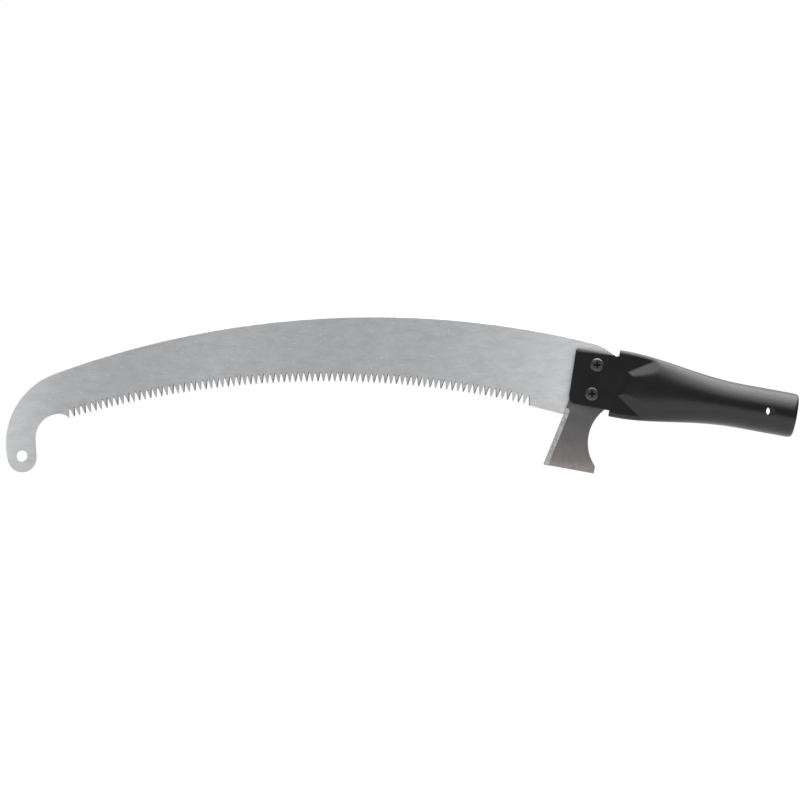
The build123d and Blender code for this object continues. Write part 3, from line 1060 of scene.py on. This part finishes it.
def round_sheared_edges(piece):
    """Rounds the outer rims of the cheeks and the shoulders, a little more along the top."""
    mesh = piece.data
    weights = mesh.attributes.new("bevel_weight_edge", "FLOAT", "EDGE")
    normals = {}
    for polygon in mesh.polygons:
        for key in polygon.edge_keys:
            normals.setdefault(key, []).append(polygon.normal)
    shoulder_x = (SHOULDER_X + 0.3) * MM
    cheeks_x = (SHOULDER_X - 0.1) * MM
    outer_y = (CHEEK_OUTER_Y - DRESSED_SLOPE * DRESSED_HEIGHT - 0.05) * MM
    sharp_below = 0.6
    near_screw = 4.0
    for edge in mesh.edges:
        ends = [mesh.vertices[index].co for index in edge.vertices]
        middle = (ends[0] + ends[1]) / 2
        near = normals.get(edge.key, [])
        if middle.x > shoulder_x or len(near) != 2 or near[0].dot(near[1]) > sharp_below:
            continue
        spot = (middle.x / MM, middle.z / MM)
        at_screw = any(math.dist(spot, place) < near_screw for place in SCREWS.values())
        on_inner_rim = middle.x < cheeks_x and min(abs(end.y) for end in ends) < outer_y
        if not at_screw and not on_inner_rim:
            weights.data[edge.index].value = 1.0 if middle.z > 0 else LOW_ROUNDING_SHARE
    bevel = piece.modifiers.new("sheared_edges", "BEVEL")
    bevel.limit_method = "WEIGHT"
    bevel.width = EDGE_ROUNDING * MM
    bevel.use_clamp_overlap = False
    bevel.segments = 3


# ---------------------------------------------------------------- fasteners

# Pan head.
HEAD_R = 5.2
HEAD_TOP_R = 3.7
HEAD_DOME = 0.45
HEAD_SIDE = 0.9
HEAD_FOOT = 0.25
HEAD_FOOT_INSET = 0.15

# Drive recess: a tapered cross, given by its arms' reach and half-width at both ends.
RECESS_TURN = TILT
RECESS_ABOVE = 0.6
RECESS_DEPTH = 2.6
RECESS_TOP = (3.1, 0.66)
RECESS_BOTTOM = (0.9, 0.35)

# Shank and thread.
SHANK_R = 2.5
SHANK_END_R = 1.95
THREAD_PITCH = 0.8
THREAD_DEPTH = 0.42
THREAD_START_Y = -1.0
THREAD_FLANK = 1.25
THREAD_STEP = 0.1

# Spring washer and nut.
WASHER_EDGE = 0.15
WASHER_GAP = 0.8
WASHER_GAP_SLANT = 0.36
NUT_BORE_R = 2.35
NUT_MOUTH_R = 2.75
NUT_MOUTH_DEPTH = 0.45
NUT_TURNED_SHARE = 0.97
NUT_CORNER_SLOPE = math.tan(math.radians(30))


def turns(count):
    """Evenly spaced angles of a full turn, in radians."""
    return [2 * math.pi * k / count for k in range(count)]


def around(place, radius, turn, y):
    """Point at an angle and a distance from a screw's axis."""
    return (place[0] + radius * math.cos(turn), y, place[1] + radius * math.sin(turn))


def head_profile(crown_y, seat_y):
    """Points (radius, y) of a pan head's half section, from the middle of its crown to its seat."""
    dome_steps, side_steps = 5, 10
    profile = []
    for k in range(dome_steps + 1):
        radius = HEAD_TOP_R * k / dome_steps
        profile.append((radius, crown_y + HEAD_DOME * (radius / HEAD_R) ** 2))
    shoulder_y = profile[-1][1]
    side_height = seat_y - HEAD_SIDE - shoulder_y
    for k in range(1, side_steps + 1):
        angle = math.radians(90 * k / side_steps)
        profile.append((HEAD_TOP_R + (HEAD_R - HEAD_TOP_R) * math.sin(angle),
                        shoulder_y + side_height * (1 - math.cos(angle))))
    return profile + [(HEAD_R, seat_y - HEAD_FOOT), (HEAD_R - HEAD_FOOT_INSET, seat_y), (SHANK_R, seat_y)]


def shank_rings(place, start_y, end_y, segments=48):
    """Rings of an M5 shank from the head's seat to its chamfered end.

    The thread is a helix, and each ring is nearly a circle whose radius follows it.
    """
    rings = []
    count = round((end_y - start_y) / THREAD_STEP)
    for k in range(count + 1):
        y = start_y + (end_y - start_y) * k / count
        ring = []
        for m, turn in enumerate(turns(segments)):
            phase = ((y - start_y) / THREAD_PITCH - m / segments) % 1.0
            crest = 1 - abs(2 * phase - 1)
            radius = SHANK_R
            if y >= THREAD_START_Y:
                radius -= THREAD_DEPTH * (1 - min(crest * THREAD_FLANK, 1.0))
            ring.append(around(place, min(radius, SHANK_END_R + end_y - y), turn, y))
        rings.append(ring)
    return rings


def recess_cutter(place, crown_y, materials):
    """Tapered cross that cuts a screw's drive recess, and leaves its second material there."""
    bm = bmesh.new()
    rings = []
    for y, (reach, half) in ((crown_y - RECESS_ABOVE, RECESS_TOP), (crown_y + RECESS_DEPTH, RECESS_BOTTOM)):
        ring = []
        for quarter in range(4):
            spin = Matrix.Rotation(RECESS_TURN + quarter * math.pi / 2, 2)
            for corner in ((reach, -half), (reach, half), (half, half)):
                spot = spin @ Vector(corner)
                ring.append((place[0] + spot.x, y, place[1] + spot.y))
        rings.append(ring)
    for end in add_rings(bm, rings):
        bm.faces.new(end)
    bmesh.ops.recalc_face_normals(bm, faces=bm.faces)
    bmesh.ops.scale(bm, vec=(MM, MM, MM), verts=bm.verts)
    for face in bm.faces:
        face.material_index = 1
    return mesh_object("recess_cutter", bm, materials)


def make_screw(side, steel, dark):
    """Pan-head screw with a cross recess and a threaded end."""
    place = SCREWS[side]
    low, high = SCREW_BOXES[side]
    crown_y, seat_y, tip_y = low.y, -CHEEK_OUTER_Y, high.y
    bm = bmesh.new()
    add_rings(bm, [[around(place, radius, turn, y) for turn in turns(64)]
                   for radius, y in head_profile(crown_y, seat_y)])
    _, end = add_rings(bm, shank_rings(place, seat_y, tip_y))
    bm.faces.new(end)
    piece = new_piece(side + "_pan_screw", bm, [steel, dark], side + "_screw")
    cutter = recess_cutter(place, crown_y, [steel, dark])
    cut = piece.modifiers.new("recess", "BOOLEAN")
    cut.operation = "DIFFERENCE"
    cut.solver = "EXACT"
    cut.use_self = True
    cut.object = cutter
    settle_modifiers(piece)
    bpy.data.objects.remove(cutter)
    shade_by_angle(piece, 35)


def make_washer(side, steel):
    """Split spring washer with softened corners and a slanted gap."""
    low, high = WASHER_BOXES[side]
    outer_r, inner_r, soft = (high.x - low.x) / 2, HOLE_R, WASHER_EDGE
    section = [
        (inner_r + soft, low.y), (outer_r - soft, low.y), (outer_r, low.y + soft),
        (outer_r, high.y - soft), (outer_r - soft, high.y), (inner_r + soft, high.y),
        (inner_r, high.y - soft), (inner_r, low.y + soft),
    ]
    middle_y = (low.y + high.y) / 2
    segments = 60
    rings = []
    for k in range(segments + 1):
        ring = []
        for radius, y in section:
            half_gap = (WASHER_GAP / 2) / radius
            lean = WASHER_GAP_SLANT * (y - middle_y) / radius
            turn = math.pi / 2 + lean + half_gap + (2 * math.pi - 2 * half_gap) * k / segments
            ring.append(around(SCREWS[side], radius, turn, y))
        rings.append(ring)
    bm = bmesh.new()
    for end in add_rings(bm, rings):
        bm.faces.new(end)
    piece = new_piece(side + "_spring_washer", bm, [steel], side + "_lock_washer")
    shade_by_angle(piece, 35)


def make_nut(side, steel):
    """Hexagon nut with its corners turned down on both faces."""
    low, high = NUT_BOXES[side]
    half = (high.z - low.z) / 2
    turned = half * NUT_TURNED_SHARE

    def ring(y, radius=None, slope=0.0):
        """Ring of a radius, or along the hexagon's sides, whose corners slope in from the face."""
        points = []
        for turn in turns(96):
            out = radius or half / math.cos(turn % (math.pi / 3) - math.pi / 6)
            points.append(around(SCREWS[side], out, turn + math.pi / 6, y + slope * (out - turned)))
        return points

    bm = bmesh.new()
    first, last = add_rings(bm, [
        ring(low.y + NUT_MOUTH_DEPTH, NUT_BORE_R),
        ring(low.y, NUT_MOUTH_R),
        ring(low.y, turned),
        ring(low.y, slope=NUT_CORNER_SLOPE),
        ring(high.y, slope=-NUT_CORNER_SLOPE),
        ring(high.y, turned),
        ring(high.y, NUT_MOUTH_R),
        ring(high.y - NUT_MOUTH_DEPTH, NUT_BORE_R),
    ])
    add_strip(bm, last, first)
    piece = new_piece(side + "_hex_nut", bm, [steel], side + "_nut")
    shade_by_angle(piece, 28)


# ---------------------------------------------------------------- stage, light and camera

# All in metres. Each softbox has its y and z, the y that it faces on the head's level, its
# depth and its radiance; the ones behind step down for the highlight along the tube's top.
CAMERA_PLACE = (-0.2932, -2.413, -0.0411)
CAMERA_LENS = 144.8
FLOOR_DROP = 0.30
FLOOR_RADII = (0.0, 0.3, 0.6, 0.9, 1.3, 2.0)
FLOOR_FADE = (0.45, 0.62)
FLOOR_GLOW = 1.3
ROOM_RADIANCE = 0.27
SOFTBOX_LENGTH = 1.8
SOFTBOX_SHIFT = 0.1
SOFTBOXES = {
    "front_low": (-1.13, 0.97, 0.0, 0.32, 1.5),
    "front_high": (-0.80, 1.20, 0.0, 0.42, 2.7),
    "overhead": (-0.10, 1.3, -0.10, 0.97, 4.8),
    "behind_high": (0.58, 1.12, 0.0, 0.52, 4.0),
    "behind_low": (0.93, 0.75, 0.0, 0.5, 1.1),
}


def make_camera():
    """Long lens square to the blade's side, rolled so that the pole would slope down."""
    data = bpy.data.cameras.new("camera")
    data.lens = CAMERA_LENS
    data.sensor_width = 36.0
    data.clip_end = 50
    camera = new_object("camera", data)
    level = Matrix.Rotation(math.radians(90), 4, "X")
    camera.matrix_world = Matrix.Translation(CAMERA_PLACE) @ Matrix.Rotation(-TILT, 4, "Y") @ level
    bpy.context.scene.camera = camera


def make_softbox(name, y, z, facing_y, depth, radiance):
    """Rectangular light of an even radiance, which the camera itself doesn't see."""
    x = (cad_box[0].x + cad_box[1].x) / 2 + SOFTBOX_SHIFT
    data = bpy.data.lights.new(name, "AREA")
    data.shape = "RECTANGLE"
    data.size, data.size_y = SOFTBOX_LENGTH, depth
    data.energy = radiance * math.pi * SOFTBOX_LENGTH * depth
    light = new_object(name, data)
    light.location = (x, y, z)
    light.visible_camera = False
    way = Vector((x, facing_y, 0)) - Vector((x, y, z))
    light.rotation_mode = "QUATERNION"
    light.rotation_quaternion = way.to_track_quat("-Z", "Y")


def make_floor():
    """Pale round floor below the head, which passes into the white backdrop far out."""
    middle = (cad_box[0] + cad_box[1]) / 2
    centre = (middle.x, middle.y, cad_box[0].z - FLOOR_DROP)
    bm = bmesh.new()
    add_rings(bm, [[(centre[0] + radius * math.cos(turn), centre[1] + radius * math.sin(turn), centre[2])
                    for turn in turns(64)] for radius in FLOOR_RADII])
    for face in bm.faces:
        face.normal_update()
        if face.normal.z < 0:
            face.normal_flip()
    mesh_object("floor", bm, [floor_paint(centre)])


def floor_paint(centre):
    """Pale matt paint that turns into a white glow away from a centre."""
    n = Nodes("pale_floor")
    grain = n.noise(n.place, 40, 3.0, 0.5)
    colour = n.ramp(grain, (0.3, grey(0.74)), (0.7, grey(0.77)))
    away = n.vector_math("DISTANCE", n.place, centre)["Value"]
    far = n.spread(away, 0.0, 1.0, *FLOOR_FADE)
    glow = n.add("ShaderNodeEmission", {"Strength": FLOOR_GLOW})
    blend = n.add("ShaderNodeMixShader", {0: far, 1: n.shader.outputs[0], 2: glow.outputs[0]})

    # Seen from below, the floor doesn't hide the head.
    underside = n.add("ShaderNodeNewGeometry").outputs["Backfacing"]
    clear = n.add("ShaderNodeBsdfTransparent").outputs[0]
    one_sided = n.add("ShaderNodeMixShader", {0: underside, 1: blend.outputs[0], 2: clear})
    n.feed(n.tree.nodes["Material Output"], {"Surface": one_sided.outputs[0]})
    return n.finish(colour, 0.9, metallic=0.0)


def make_world():
    """White backdrop for the camera, and a dim even room for what the metal reflects."""
    world = bpy.data.worlds.new("studio")
    bpy.context.scene.world = world
    world.use_nodes = True
    tree = world.node_tree
    tree.nodes.clear()
    out = tree.nodes.new("ShaderNodeOutputWorld")
    mix = tree.nodes.new("ShaderNodeMixShader")
    path = tree.nodes.new("ShaderNodeLightPath")
    tree.links.new(path.outputs["Is Camera Ray"], mix.inputs[0])
    for index, radiance in ((1, ROOM_RADIANCE), (2, 1.0)):
        background = tree.nodes.new("ShaderNodeBackground")
        background.inputs["Color"].default_value = (1, 1, 1, 1)
        background.inputs["Strength"].default_value = radiance
        tree.links.new(background.outputs[0], mix.inputs[index])
    tree.links.new(mix.outputs[0], out.inputs["Surface"])


def main():
    """Builds the stage and then the nine pieces."""
    bpy.context.scene.view_settings.view_transform = "Standard"
    make_camera()
    make_floor()
    make_world()
    for name, numbers in SOFTBOXES.items():
        make_softbox(name, *numbers)

    plated, recess, zinc = screw_steel(), recess_shade_steel(), zinc_steel()
    make_blade(blade_steel(), tooth_steel())
    make_knife(knife_steel(), edge_steel())
    make_socket(black_enamel(), thin_enamel())
    for side in SIDES:
        make_screw(side, plated, recess)
        make_washer(side, zinc)
        make_nut(side, zinc)


main()
